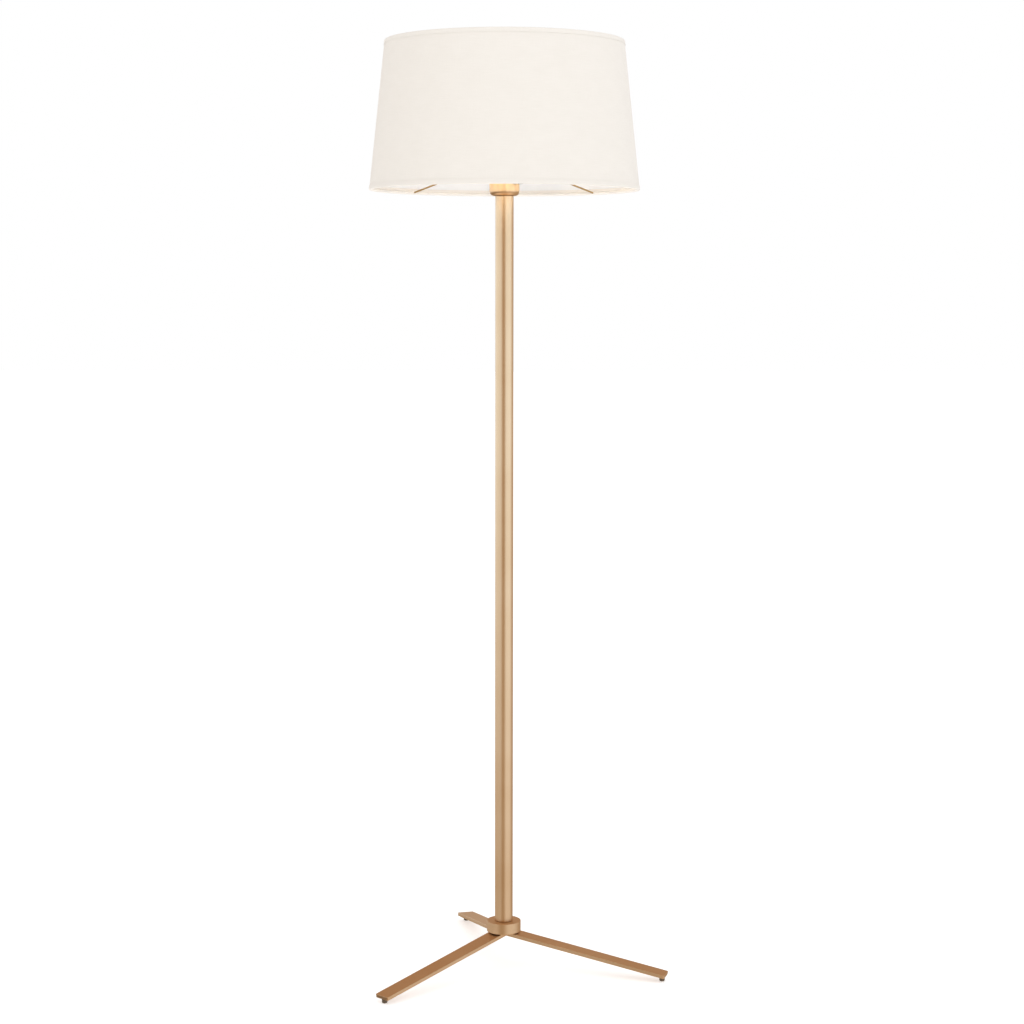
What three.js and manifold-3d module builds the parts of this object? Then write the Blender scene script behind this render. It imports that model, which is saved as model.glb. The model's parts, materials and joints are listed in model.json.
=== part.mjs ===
// Tripod floor lamp: a round pole on three sloping flat bars, and a tapered drum shade on a wire fitter.
// Millimetres, +Z up. The origin is where the pole's axis meets the floor, and -Y is the front.
import * as THREE from 'three';
import { mergeVertices } from 'three/addons/utils/BufferGeometryUtils.js';
import Module from 'manifold-3d';

const wasm = await Module();
wasm.setup();

// Clearances
const GAP = 0.3; // between pieces that touch
const RUN = 0.4; // round a piece that turns or slides

// Legs: flat bars, their inner ends mitred against each other under the hub
const LEG_BEARINGS = { right: -18.1, front_left: -133.8, back: 104.3 };
const LEG_LENGTH = 296.9; // from the pole's axis, down the slope
const LEG_WIDTH = 29.4;
const LEG_THICKNESS = 6.3;
const LEG_SLOPE = 10;
const LEG_TOP_AT_AXIS = 3; // the bars' top faces would meet the axis this far above the hub's underside
const LEG_CORNER = 2.4;

// Screws that hold the legs up to the hub, two to a leg
const SCREW_OUT = 15; // from the axis, along the leg
const SCREW_ASIDE = 7.5; // to each side of the leg's middle
const SCREW_RADIUS = 2;
const SCREW_HEAD_RADIUS = 4;
const SCREW_HEAD_DEPTH = 2.2;
const SCREW_LENGTH = 14;
const HEX_RECESS_RADIUS = 1.3;
const HEX_RECESS_DEPTH = 1.4;

// Rubber feet, pressed into blind holes under the legs' ends
const FOOT_INSET = 6.6; // from the leg's end to the foot's axis
const FOOT_HEIGHT = 8.986; // from the floor to the underside of the bar, on the foot's axis
const FOOT_RADIUS = 4.7;
const FOOT_FLAT_RADIUS = 3.3;
const FOOT_DOME = 1.6;
const SPIGOT_RADIUS = 2;
const SPIGOT_LENGTH = 3.4;

// Hub: a turned disc that carries the pole, with a wiring chamber in its underside
const HUB_RADIUS = 29.5;
const HUB_HEIGHT = 18.7;
const HUB_EDGE = 1.2;
const CHAMBER_RADIUS = 10;
const CHAMBER_DEPTH = 11.4;
const INLET_RADIUS = 4;
const INLET_RISE = 5.8; // of the cord inlet's axis above the hub's underside
const INLET_BEARING = 43;
const BEAD_WIDTH = 1.7; // of the inlet bush's bead, beyond the hole
const BEAD_THICKNESS = 1.7;
const BEAD_ROUND = 0.6;

// Pole: a tube held between the hub and the cup by a hollow threaded rod through its whole length
const POLE_RADIUS = 15.5;
const POLE_WALL = 1.2;
const POLE_LENGTH = 1252.1;
const ROD_RADIUS = 5;
const ROD_BORE = 3.5;
const ROD_TAIL = 7.4; // down into the wiring chamber, from its roof
const ROD_HEAD = 15; // up into the cup, from its underside
const NUT_ACROSS = 14;
const NUT_HEIGHT = 3.6;
const WASHER_RADIUS = 8.4;
const WASHER_THICKNESS = 1.2;
const BUSH_HEIGHT = 8;
const FLEX_RADIUS = 2.6;

// Lamp bulb
const CAP_RADIUS = 13;
const CAP_WALL = 0.6;
const CAP_FLOOR = 2;
const CAP_CHAMFER = 1.5;
const CAP_LENGTH = 22;
const TIP_HEIGHT = 3.6;
const TIP_RADIUS = 3.4;
const TIP_FLARE = 6.6; // more radius where the insulator meets the cap
const GLOBE_RADIUS = 30;
const GLOBE_WALL = 1;
const GLOBE_SHOULDER = 50; // from the neck to the widest place
const NECK_STEP = 0.4; // the globe's neck is this much narrower than the cap
const NECK_RADIUS = CAP_RADIUS - NECK_STEP;

// Cup and lampholder
const CUP_RADIUS = 25.4;
const CUP_WALL = 1;
const CUP_HEIGHT = 46;
const CUP_FILLET = 8;
const BODY_ROOM = 3.4; // between the cup's wall and the lampholder's body
const BODY_RADIUS = CUP_RADIUS - CUP_WALL - BODY_ROOM;
const BODY_WALL = 3.5;
const BODY_FLOOR = 3.5;
const COLLAR_SETBACK = 0.8; // of the collar's edge from the cup's
const COLLAR_RADIUS = CUP_RADIUS - COLLAR_SETBACK; // closes the cup's mouth and carries the shade fitter
const COLLAR_HEIGHT = 10;
const SHELL_WALL = 0.6;
const SHELL_HEIGHT = 19;
const SHELL_SETBACK = 1; // of the shell's rim below the sleeve's
const CAP_PLAY = 1.1; // between the bulb's cap and the screw shell
const SOCKET_RADIUS = CAP_RADIUS + CAP_PLAY + SHELL_WALL + GAP;
const SOCKET_DEPTH = 24;
const SLEEVE_WALL = 4.3;
const SLEEVE_RADIUS = SOCKET_RADIUS + SLEEVE_WALL; // the threaded sleeve that the shade ring screws onto
const SLEEVE_HEIGHT = 15;
const PARTITION = 5;
const CONTACT_RADIUS = 4;
const CONTACT_THICKNESS = 1.2;

// Turn switch, on the side of the cup
const SWITCH_RISE = 26; // of its spindle above the cup's underside
const SWITCH_BEARING = -35;
const SPINDLE_RADIUS = 2.6;
const SPINDLE_INNER = 8;
const ROTOR_RADIUS = 5;
const ROTOR_THICKNESS = 3;
const KNOB_RADIUS = 7;
const KNOB_LENGTH = 12;
const KNOB_STANDOFF = 2;
const KNOB_FLUTES = 12;
const KNOB_FLUTE_DEPTH = 0.6;
const KNOB_END = 3; // solid, beyond the end of the spindle

// Shade: a tapered drum of fabric on a stiff liner, with a wire ring and a folded hem at each end
const SHADE_BOTTOM_RADIUS = 228.6;
const SHADE_TOP_RADIUS = 201.7;
const SHADE_HEIGHT = 247.4;
const SHADE_DROP = 9.5; // the cup's underside hangs this far below the shade's lower edge
const HEM_DEPTH = 7;
const HEM_THICKNESS = 0.6;
const FABRIC_THICKNESS = 0.6;
const LINER_THICKNESS = 0.6;
const WIRE_RADIUS = 1.6;

// Shade fitter: a flat ring on the lampholder's collar, four wire arms, and a threaded clamping ring
const FITTER_BAND = 7.3;
const FITTER_RADIUS = SLEEVE_RADIUS + RUN + FITTER_BAND;
const FITTER_THICKNESS = 2;
const ARM_RADIUS = 1.5;
const ARM_BEARING = 45.5;
const ARM_COUNT = 4;
const CLAMP_HEIGHT = 7;
const CLAMP_WALL = 3.5;
const CLAMP_GRIP_RADIUS = SLEEVE_RADIUS + RUN + CLAMP_WALL;
const CLAMP_LIP = 1.8; // of its flange beyond the grip
const CLAMP_RADIUS = CLAMP_GRIP_RADIUS + CLAMP_LIP;
const CLAMP_FLANGE = 2;

// Facets round a turned piece
const FINE = 60;
const MEDIUM = 32;
const COARSE = 16;
const WIRE_SIDES = 6;
const ARM_SIDES = 8;
const FLEX_SIDES = 12;
const GLOBE_STEPS = 5; // along the globe's flank, and again over its dome

// Levels worked out from the sizes above: the hub stands as high as the sloping legs and their feet lift it
const slope = THREE.MathUtils.degToRad(LEG_SLOPE);
const footUnderside = LEG_LENGTH - FOOT_INSET; // along the bar, to where the foot's upright axis crosses
const legTopAtAxis = FOOT_HEIGHT + footUnderside * Math.sin(slope) + LEG_THICKNESS * Math.cos(slope);
const hubBottom = legTopAtAxis - LEG_TOP_AT_AXIS;
const hubTop = hubBottom + HUB_HEIGHT;
const chamberRoof = hubBottom + CHAMBER_DEPTH;
const poleBottom = hubTop + GAP;
const poleTop = poleBottom + POLE_LENGTH;
const cupBottom = poleTop + GAP;
const cupTop = cupBottom + CUP_HEIGHT;
const upperStack = GAP + WASHER_THICKNESS + GAP + NUT_HEIGHT + GAP; // washer and nut on the cup's floor
const bodyBottom = cupBottom + CUP_WALL + upperStack + GAP;
const collarTop = cupTop + GAP + COLLAR_HEIGHT;
const sleeveTop = collarTop + SLEEVE_HEIGHT;
const socketFloor = sleeveTop - SOCKET_DEPTH;
const fitterBottom = collarTop + GAP;
const clampBottom = fitterBottom + FITTER_THICKNESS + GAP;
const shadeBottom = cupBottom + SHADE_DROP;
const shadeTop = shadeBottom + SHADE_HEIGHT;
const bulbBottom = socketFloor + CONTACT_THICKNESS + 2 * GAP;
const capBottom = bulbBottom + TIP_HEIGHT;
const globeBottom = capBottom + CAP_LENGTH + GAP;
const switchLevel = cupBottom + SWITCH_RISE;

function finish(color, roughness, metalness) {
  return new THREE.MeshStandardMaterial({ color, roughness, metalness });
}
const GOLD = [0xc79a67, 0.34, 1];
const STEEL = [0xb9bcc0, 0.4, 1];
const BRASS = [0xc9a558, 0.3, 1];
const NYLON = [0xd9d4c6, 0.6, 0];

const lamp = new THREE.Group();
lamp.name = 'tripod_floor_lamp';

function add(name, geometry, look) {
  const mesh = new THREE.Mesh(geometry, finish(...look));
  mesh.name = name;
  lamp.add(mesh);
  return mesh;
}

// A piece turned about Z. The outline lists [radius, height] anticlockwise, and starts and ends on the axis.
function turned(outline, facets) {
  const points = outline.map(([r, z]) => new THREE.Vector2(r, z));
  return new THREE.LatheGeometry(points, facets).rotateX(Math.PI / 2);
}

// A turned ring, whose outline closes on itself
const ring = (outline, facets) => turned([...outline, outline[0]], facets);

// A plain tube or washer
function tube(inner, outer, bottom, top, facets) {
  return ring([[inner, bottom], [outer, bottom], [outer, top], [inner, top]], facets);
}

function rod(radius, bottom, top, facets) {
  return turned([[0, bottom], [radius, bottom], [radius, top], [0, top]], facets);
}

function hexNut(bottom) {
  const nut = new THREE.Shape();
  for (let i = 0; i < 6; i += 1) {
    const a = (i * Math.PI) / 3;
    const corner = NUT_ACROSS / Math.sqrt(3);
    nut[i ? 'lineTo' : 'moveTo'](corner * Math.cos(a), corner * Math.sin(a));
  }
  nut.closePath();
  nut.holes.push(new THREE.Path().absarc(0, 0, ROD_RADIUS + GAP, 0, 2 * Math.PI));
  const extrusion = { depth: NUT_HEIGHT, bevelEnabled: false, curveSegments: 8 };
  const geometry = new THREE.ExtrudeGeometry(nut, extrusion);
  return geometry.translate(0, 0, bottom);
}

// Solids for cutting: shared vertices are merged, and the flat triangles on a turned piece's axis left out
function toSolid(geometry) {
  const bare = geometry.clone();
  bare.deleteAttribute('normal');
  bare.deleteAttribute('uv');
  const merged = mergeVertices(bare, 1e-4);
  const kept = [];
  for (let i = 0; i < merged.index.count; i += 3) {
    const [a, b, c] = [0, 1, 2].map((k) => merged.index.getX(i + k));
    if (a !== b && b !== c && c !== a) kept.push(a, b, c);
  }
  const vertProperties = new Float32Array(merged.attributes.position.array);
  return new wasm.Manifold(new wasm.Mesh({ numProp: 3, vertProperties, triVerts: new Uint32Array(kept) }));
}

function toGeometry(solid) {
  const mesh = solid.getMesh();
  const geometry = new THREE.BufferGeometry();
  geometry.setAttribute('position', new THREE.BufferAttribute(new Float32Array(mesh.vertProperties), 3));
  geometry.setIndex(new THREE.BufferAttribute(new Uint32Array(mesh.triVerts), 1));
  geometry.computeVertexNormals();
  return geometry;
}

function cut(geometry, cutters) {
  return toGeometry(cutters.reduce((rest, cutter) => rest.subtract(toSolid(cutter)), toSolid(geometry)));
}

// Lays a piece made along +Z so that it points outward from the pole's axis, at a bearing and a height
function pointOut(geometry, bearing, height) {
  geometry.rotateY(Math.PI / 2).rotateZ(THREE.MathUtils.degToRad(bearing));
  return geometry.translate(0, 0, height);
}

// ---- Legs: each is made flat along +X with its top face at height 0, then tilted and turned to its bearing
function layLeg(geometry, bearing) {
  geometry.rotateY(slope).translate(0, 0, legTopAtAxis);
  return geometry.rotateZ(THREE.MathUtils.degToRad(bearing));
}

const screwPlaces = [-SCREW_ASIDE, SCREW_ASIDE].map((aside) => [SCREW_OUT, aside]);

// A countersunk screw from the underside of the bar, grown all round by a clearance where it is a cutter
function screw(spare) {
  const head = SCREW_HEAD_RADIUS + spare;
  const shank = SCREW_RADIUS + spare;
  const recess = [[0, HEX_RECESS_DEPTH], [HEX_RECESS_RADIUS, HEX_RECESS_DEPTH], [HEX_RECESS_RADIUS, 0]];
  const outline = spare ? [[0, -spare]] : recess;
  outline.push([head, -spare], [head, 0], [shank, SCREW_HEAD_DEPTH]);
  outline.push([shank, SCREW_LENGTH + spare], [0, SCREW_LENGTH + spare]);
  return turned(outline, COARSE).translate(0, 0, -LEG_THICKNESS + (spare ? 0 : GAP));
}

function placedScrew(place, bearing, spare) {
  return layLeg(screw(spare).translate(place[0], place[1], 0), bearing);
}

// The half of space beyond the vertical mitre plane between two neighbouring legs, and half a gap more
function beyondMitre(bearing, neighbour) {
  const between = THREE.MathUtils.euclideanModulo(neighbour - bearing + 180, 360) - 180;
  const size = 4 * LEG_WIDTH;
  const block = new THREE.BoxGeometry(2 * size, size, size);
  block.translate(0, Math.sign(between) * (size - GAP) / 2, legTopAtAxis);
  return block.rotateZ(THREE.MathUtils.degToRad(bearing + between / 2));
}

function legBlank() {
  const half = LEG_WIDTH / 2;
  const bar = new THREE.Shape();
  bar.moveTo(-half, -half);
  bar.lineTo(LEG_LENGTH - LEG_CORNER, -half);
  bar.absarc(LEG_LENGTH - LEG_CORNER, -half + LEG_CORNER, LEG_CORNER, -Math.PI / 2, 0);
  bar.absarc(LEG_LENGTH - LEG_CORNER, half - LEG_CORNER, LEG_CORNER, 0, Math.PI / 2);
  bar.lineTo(-half, half);
  bar.closePath();
  const extrusion = { depth: LEG_THICKNESS, bevelEnabled: false, curveSegments: 5 };
  const geometry = new THREE.ExtrudeGeometry(bar, extrusion);
  return geometry.translate(0, 0, -LEG_THICKNESS);
}

const footRadius = footUnderside * Math.cos(slope) - LEG_THICKNESS * Math.sin(slope);

function placedSpigot(spare, bearing) {
  const spigot = rod(SPIGOT_RADIUS + spare, FOOT_HEIGHT / 2, FOOT_HEIGHT + SPIGOT_LENGTH + spare, COARSE);
  return spigot.translate(footRadius, 0, 0).rotateZ(THREE.MathUtils.degToRad(bearing));
}

const underHub = new THREE.BoxGeometry(8 * HUB_RADIUS, 8 * HUB_RADIUS, HUB_HEIGHT);
underHub.translate(0, 0, hubBottom - GAP + HUB_HEIGHT / 2);

const bearings = Object.values(LEG_BEARINGS);
for (const [side, bearing] of Object.entries(LEG_BEARINGS)) {
  const mitres = bearings.filter((other) => other !== bearing).map((other) => beyondMitre(bearing, other));
  const screwHoles = screwPlaces.map((place) => placedScrew(place, bearing, GAP));
  const legCuts = [underHub, ...mitres, ...screwHoles, placedSpigot(GAP, bearing)];
  const leg = cut(layLeg(legBlank(), bearing), legCuts);
  add(`leg_${side}`, leg, GOLD);

  screwPlaces.forEach((place, i) => add(`leg_screw_${side}_${i + 1}`, placedScrew(place, bearing, 0), STEEL));

  const outline = [[0, 0], [FOOT_FLAT_RADIUS, 0]];
  for (const share of [0.35, 0.7, 1]) {
    const a = (share * Math.PI) / 2;
    const bulge = FOOT_RADIUS - FOOT_FLAT_RADIUS;
    outline.push([FOOT_FLAT_RADIUS + bulge * Math.sin(a), FOOT_DOME * (1 - Math.cos(a))]);
  }
  outline.push([FOOT_RADIUS, FOOT_HEIGHT + FOOT_RADIUS], [0, FOOT_HEIGHT + FOOT_RADIUS]);
  const stud = turned(outline, COARSE).translate(footRadius, 0, 0).rotateZ(THREE.MathUtils.degToRad(bearing));
  // the stud is trimmed to the bar's sloping underside, and its spigot stands up into the bar
  const above = new THREE.BoxGeometry(8 * FOOT_RADIUS, 8 * FOOT_RADIUS, 4 * FOOT_RADIUS);
  above.translate(footUnderside, 0, 2 * FOOT_RADIUS - LEG_THICKNESS - GAP);
  const trimmed = toSolid(stud).subtract(toSolid(layLeg(above, bearing)));
  add(`foot_${side}`, toGeometry(trimmed.add(toSolid(placedSpigot(0, bearing)))), [0x2a2724, 0.7, 0]);
}

// ---- Hub, with its wiring chamber, rod hole, cord inlet and six screw holes
const hubOutline = [[0, hubBottom], [HUB_RADIUS - HUB_EDGE, hubBottom], [HUB_RADIUS, hubBottom + HUB_EDGE]];
hubOutline.push([HUB_RADIUS, hubTop - HUB_EDGE], [HUB_RADIUS - HUB_EDGE, hubTop], [0, hubTop]);
const hubCuts = [
  rod(CHAMBER_RADIUS, hubBottom - GAP, chamberRoof, MEDIUM),
  rod(ROD_RADIUS + GAP, hubBottom, hubTop + GAP, COARSE),
  pointOut(rod(INLET_RADIUS, 0, HUB_RADIUS + GAP, COARSE), INLET_BEARING, hubBottom + INLET_RISE),
];
for (const bearing of bearings) {
  hubCuts.push(...screwPlaces.map((place) => placedScrew(place, bearing, GAP)));
}
add('base_hub', cut(turned(hubOutline, MEDIUM), hubCuts), GOLD);

// Rubber bush that lines the cord inlet, with a bead outside the hub's wall
const bushBore = FLEX_RADIUS + GAP;
const sleeve = INLET_RADIUS - GAP;
const bead = sleeve + BEAD_WIDTH;
const beadStart = HUB_RADIUS + GAP;
const beadEnd = beadStart + BEAD_THICKNESS;
const inletBush = [[bushBore, CHAMBER_RADIUS + GAP], [sleeve, CHAMBER_RADIUS + GAP], [sleeve, beadStart]];
inletBush.push([bead, beadStart], [bead, beadEnd - BEAD_ROUND]);
inletBush.push([bead - BEAD_ROUND, beadEnd], [bushBore, beadEnd]);
const placedBush = pointOut(ring(inletBush, COARSE), INLET_BEARING, hubBottom + INLET_RISE);
add('cord_inlet_bush', placedBush, [0x26231f, 0.8, 0]);

// ---- Pole, its rod, and what centres and clamps it
const poleBore = POLE_RADIUS - POLE_WALL;
add('pole_tube', tube(poleBore, POLE_RADIUS, poleBottom, poleTop, FINE), GOLD);
const rodBottom = chamberRoof - ROD_TAIL;
const rodTop = cupBottom + ROD_HEAD;
add('pole_tie_rod', tube(ROD_BORE, ROD_RADIUS, rodBottom, rodTop, COARSE), STEEL);
const rodHole = ROD_RADIUS + GAP;
const plugRadius = poleBore - GAP;
const lowerPlug = tube(rodHole, plugRadius, poleBottom, poleBottom + BUSH_HEIGHT, MEDIUM);
const upperPlug = tube(rodHole, plugRadius, poleTop - BUSH_HEIGHT, poleTop, MEDIUM);
add('pole_bush_lower', lowerPlug, NYLON);
add('pole_bush_upper', upperPlug, NYLON);
const lowerWasherTop = chamberRoof - GAP;
const lowerWasher = [lowerWasherTop - WASHER_THICKNESS, lowerWasherTop];
add('rod_washer_lower', tube(rodHole, WASHER_RADIUS, ...lowerWasher, COARSE), STEEL);
add('rod_nut_lower', hexNut(lowerWasher[0] - GAP - NUT_HEIGHT), STEEL);
const cupFloor = cupBottom + CUP_WALL + GAP;
add('rod_washer_upper', tube(rodHole, WASHER_RADIUS, cupFloor, cupFloor + WASHER_THICKNESS, COARSE), STEEL);
add('rod_nut_upper', hexNut(cupFloor + WASHER_THICKNESS + GAP), STEEL);
const flexTop = switchLevel - ROTOR_RADIUS - 2 * GAP;
add('inner_flex', rod(FLEX_RADIUS, rodBottom, flexTop, FLEX_SIDES), [0xe9e4d6, 0.5, 0]);

// ---- Cup: a spun shell with a rounded lower edge, and a hole for the switch spindle
const cupOutline = [[rodHole, cupBottom], [CUP_RADIUS - CUP_FILLET, cupBottom]];
const inside = [];
const innerFillet = CUP_FILLET - CUP_WALL;
for (const share of [0.25, 0.5, 0.75, 1]) {
  const a = (share * Math.PI) / 2;
  const centre = [CUP_RADIUS - CUP_FILLET, cupBottom + CUP_FILLET];
  cupOutline.push([centre[0] + CUP_FILLET * Math.sin(a), centre[1] - CUP_FILLET * Math.cos(a)]);
  inside.unshift([centre[0] + innerFillet * Math.sin(a), centre[1] - innerFillet * Math.cos(a)]);
}
cupOutline.push([CUP_RADIUS, cupTop], [CUP_RADIUS - CUP_WALL, cupTop], ...inside);
cupOutline.push([CUP_RADIUS - CUP_FILLET, cupBottom + CUP_WALL], [rodHole, cupBottom + CUP_WALL]);
const spindleDrill = rod(SPINDLE_RADIUS + RUN, SPINDLE_INNER, 2 * CUP_RADIUS, COARSE);
const spindleHole = pointOut(spindleDrill, SWITCH_BEARING, switchLevel);
add('lampholder_cup', cut(ring(cupOutline, MEDIUM), [spindleHole]), GOLD);

// ---- Lampholder: a moulded body, with a wiring space below its partition and the socket above
const wiring = BODY_RADIUS - BODY_WALL;
const wiringRoof = socketFloor - PARTITION;
const bodyOutline = [[0, wiringRoof], [wiring, wiringRoof], [wiring, bodyBottom + BODY_FLOOR]];
bodyOutline.push([rodHole, bodyBottom + BODY_FLOOR], [rodHole, bodyBottom], [BODY_RADIUS, bodyBottom]);
bodyOutline.push([BODY_RADIUS, cupTop + GAP], [COLLAR_RADIUS, cupTop + GAP], [COLLAR_RADIUS, collarTop]);
bodyOutline.push([SLEEVE_RADIUS, collarTop], [SLEEVE_RADIUS, sleeveTop], [SOCKET_RADIUS, sleeveTop]);
bodyOutline.push([SOCKET_RADIUS, socketFloor], [0, socketFloor]);
add('lampholder_body', cut(turned(bodyOutline, MEDIUM), [spindleHole]), [0x1d1c1b, 0.45, 0]);
const shellOuter = SOCKET_RADIUS - GAP;
const shellTop = sleeveTop - SHELL_SETBACK;
const shell = tube(shellOuter - SHELL_WALL, shellOuter, shellTop - SHELL_HEIGHT, shellTop, MEDIUM);
add('lampholder_shell', shell, BRASS);
const contact = rod(CONTACT_RADIUS, socketFloor + GAP, socketFloor + GAP + CONTACT_THICKNESS, COARSE);
add('lampholder_contact', contact, BRASS);

// ---- Turn switch: a spindle with its rotor inside the lampholder, and a fluted knob outside the cup
const rotorEnd = SPINDLE_INNER + ROTOR_THICKNESS;
const knobStart = CUP_RADIUS + KNOB_STANDOFF;
const spindleOutline = [[0, SPINDLE_INNER], [ROTOR_RADIUS, SPINDLE_INNER], [ROTOR_RADIUS, rotorEnd]];
const spindleEnd = knobStart + KNOB_LENGTH - KNOB_END;
spindleOutline.push([SPINDLE_RADIUS, rotorEnd], [SPINDLE_RADIUS, spindleEnd], [0, spindleEnd]);
add('switch_spindle', pointOut(turned(spindleOutline, COARSE), SWITCH_BEARING, switchLevel), BRASS);
const flutedKnob = new THREE.Shape();
for (let i = 0; i < 2 * KNOB_FLUTES; i += 1) {
  const a = (i * Math.PI) / KNOB_FLUTES;
  const r = i % 2 ? KNOB_RADIUS : KNOB_RADIUS - KNOB_FLUTE_DEPTH;
  flutedKnob[i ? 'lineTo' : 'moveTo'](r * Math.cos(a), r * Math.sin(a));
}
flutedKnob.closePath();
const knob = new THREE.ExtrudeGeometry(flutedKnob, { depth: KNOB_LENGTH, bevelEnabled: false });
const knobBore = rod(SPINDLE_RADIUS + GAP, -GAP, KNOB_LENGTH - KNOB_END + GAP, COARSE);
const boredKnob = cut(knob, [knobBore]).translate(0, 0, knobStart);
add('switch_knob', pointOut(boredKnob, SWITCH_BEARING, switchLevel), [0x1d1c1b, 0.4, 0]);

// ---- Bulb: contact tip and insulator, metal cap, and a frosted globe open at its neck
const tipTop = capBottom - GAP;
const tipOutline = [[0, bulbBottom], [TIP_RADIUS, bulbBottom], [TIP_RADIUS + TIP_FLARE, tipTop], [0, tipTop]];
add('bulb_tip', turned(tipOutline, COARSE), [0x2b2a28, 0.5, 0]);
const capTop = capBottom + CAP_LENGTH;
const capBore = CAP_RADIUS - CAP_WALL;
const capOutline = [[0, capBottom], [CAP_RADIUS - CAP_CHAMFER, capBottom]];
capOutline.push([CAP_RADIUS, capBottom + CAP_CHAMFER]);
capOutline.push([CAP_RADIUS, capTop], [capBore, capTop]);
capOutline.push([capBore, capBottom + CAP_FLOOR], [0, capBottom + CAP_FLOOR]);
add('bulb_cap', turned(capOutline, MEDIUM), [0xc4c6c8, 0.35, 1]);
const shoulder = globeBottom + GLOBE_SHOULDER;
const globeOutside = [];
const globeInside = [];
for (let i = 0; i <= GLOBE_STEPS; i += 1) {
  const t = i / GLOBE_STEPS;
  const r = NECK_RADIUS + (GLOBE_RADIUS - NECK_RADIUS) * t * t * (3 - 2 * t);
  globeOutside.push([r, globeBottom + GLOBE_SHOULDER * t]);
  globeInside.unshift([r - GLOBE_WALL, globeBottom + GLOBE_SHOULDER * t]);
}
for (let i = 1; i <= GLOBE_STEPS; i += 1) {
  const a = (i * Math.PI) / (2 * GLOBE_STEPS);
  const across = i < GLOBE_STEPS ? Math.cos(a) : 0;
  const inner = GLOBE_RADIUS - GLOBE_WALL;
  globeOutside.push([GLOBE_RADIUS * across, shoulder + GLOBE_RADIUS * Math.sin(a)]);
  globeInside.unshift([inner * across, shoulder + inner * Math.sin(a)]);
}
add('bulb_globe', turned([...globeInside, ...globeOutside], COARSE), [0xfff6e6, 0.6, 0]);

// ---- Shade: outer radius at a height, then hems, fabric, liner and wires set in from it
const shadeRadius = (z) => SHADE_BOTTOM_RADIUS
  + ((SHADE_TOP_RADIUS - SHADE_BOTTOM_RADIUS) * (z - shadeBottom)) / SHADE_HEIGHT;
const at = (inset, z) => [shadeRadius(z) - inset, z];
const fabricInset = HEM_THICKNESS + GAP;
const linerInset = fabricInset + FABRIC_THICKNESS + GAP;
const wireInset = linerInset + LINER_THICKNESS + GAP + WIRE_RADIUS;
const hemInset = wireInset + WIRE_RADIUS;
const sheetBottom = shadeBottom + HEM_THICKNESS + GAP;
const sheetTop = shadeTop - HEM_THICKNESS - GAP;

function sheet(inset, thickness) {
  return ring([at(inset + thickness, sheetBottom), at(inset, sheetBottom), at(inset, sheetTop),
    at(inset + thickness, sheetTop)], FINE);
}

// A hem folded over one end: down the outside, and across the edge as far as the wire's inner side
function hem(edge, inward) {
  const end = edge + inward * HEM_DEPTH;
  const fold = edge + inward * HEM_THICKNESS;
  const outline = [at(hemInset, edge), at(0, edge), at(0, end)];
  outline.push(at(HEM_THICKNESS, end), at(HEM_THICKNESS, fold), at(hemInset, fold));
  return ring(inward > 0 ? outline : outline.reverse(), FINE);
}

function wireRing(level) {
  const geometry = new THREE.TorusGeometry(shadeRadius(level) - wireInset, WIRE_RADIUS, WIRE_SIDES, FINE);
  return geometry.translate(0, 0, level);
}

const FABRIC = [0xf4eee2, 0.9, 0];
add('shade_fabric', sheet(fabricInset, FABRIC_THICKNESS), FABRIC);
add('shade_liner', sheet(linerInset, LINER_THICKNESS), [0xfaf8f2, 0.5, 0]);
add('shade_hem_bottom', hem(shadeBottom, 1), FABRIC);
add('shade_hem_top', hem(shadeTop, -1), FABRIC);
const wireLevel = sheetBottom + WIRE_RADIUS;
add('shade_wire_bottom', wireRing(wireLevel), BRASS);
add('shade_wire_top', wireRing(sheetTop - WIRE_RADIUS), BRASS);

// ---- Shade fitter: its ring drops over the sleeve, and the clamping ring screws down on it
const fitterBore = SLEEVE_RADIUS + RUN;
const fitterTop = fitterBottom + FITTER_THICKNESS;
add('fitter_ring', tube(fitterBore, FITTER_RADIUS, fitterBottom, fitterTop, MEDIUM), BRASS);
const armInner = [FITTER_RADIUS, fitterBottom + FITTER_THICKNESS / 2];
const armOuter = [shadeRadius(wireLevel) - wireInset, wireLevel];
const armRun = Math.hypot(armOuter[0] - armInner[0], armInner[1] - armOuter[1]);
const armDip = Math.atan2(armInner[1] - armOuter[1], armOuter[0] - armInner[0]);
// the wire ring is a polygon, so the middles of its sides lie nearer to the axis than its corners
const armEnd = armRun - WIRE_RADIUS - GAP - armOuter[0] * (1 - Math.cos(Math.PI / FINE));
const armStart = GAP + ARM_RADIUS * Math.tan(armDip) + (FITTER_THICKNESS / 2) * Math.sin(armDip);
for (let i = 0; i < ARM_COUNT; i += 1) {
  const arm = rod(ARM_RADIUS, armStart, armEnd, ARM_SIDES).rotateY(Math.PI / 2 + armDip);
  arm.translate(armInner[0], 0, armInner[1]);
  arm.rotateZ(THREE.MathUtils.degToRad(ARM_BEARING) + (i * 2 * Math.PI) / ARM_COUNT);
  add(`fitter_arm_${i + 1}`, arm, BRASS);
}
const clampOutline = [[fitterBore, clampBottom], [CLAMP_RADIUS, clampBottom]];
const flangeTop = clampBottom + CLAMP_FLANGE;
const clampTop = clampBottom + CLAMP_HEIGHT;
clampOutline.push([CLAMP_RADIUS, flangeTop], [CLAMP_GRIP_RADIUS, flangeTop]);
clampOutline.push([CLAMP_GRIP_RADIUS, clampTop], [fitterBore, clampTop]);
add('shade_clamp_ring', ring(clampOutline, MEDIUM), [0x1d1c1b, 0.45, 0]);

export default lamp;
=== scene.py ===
import json
from math import atan2, cos, hypot, pi, radians, sin, tan

import bmesh
import bpy
from mathutils import Matrix, Vector


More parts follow.
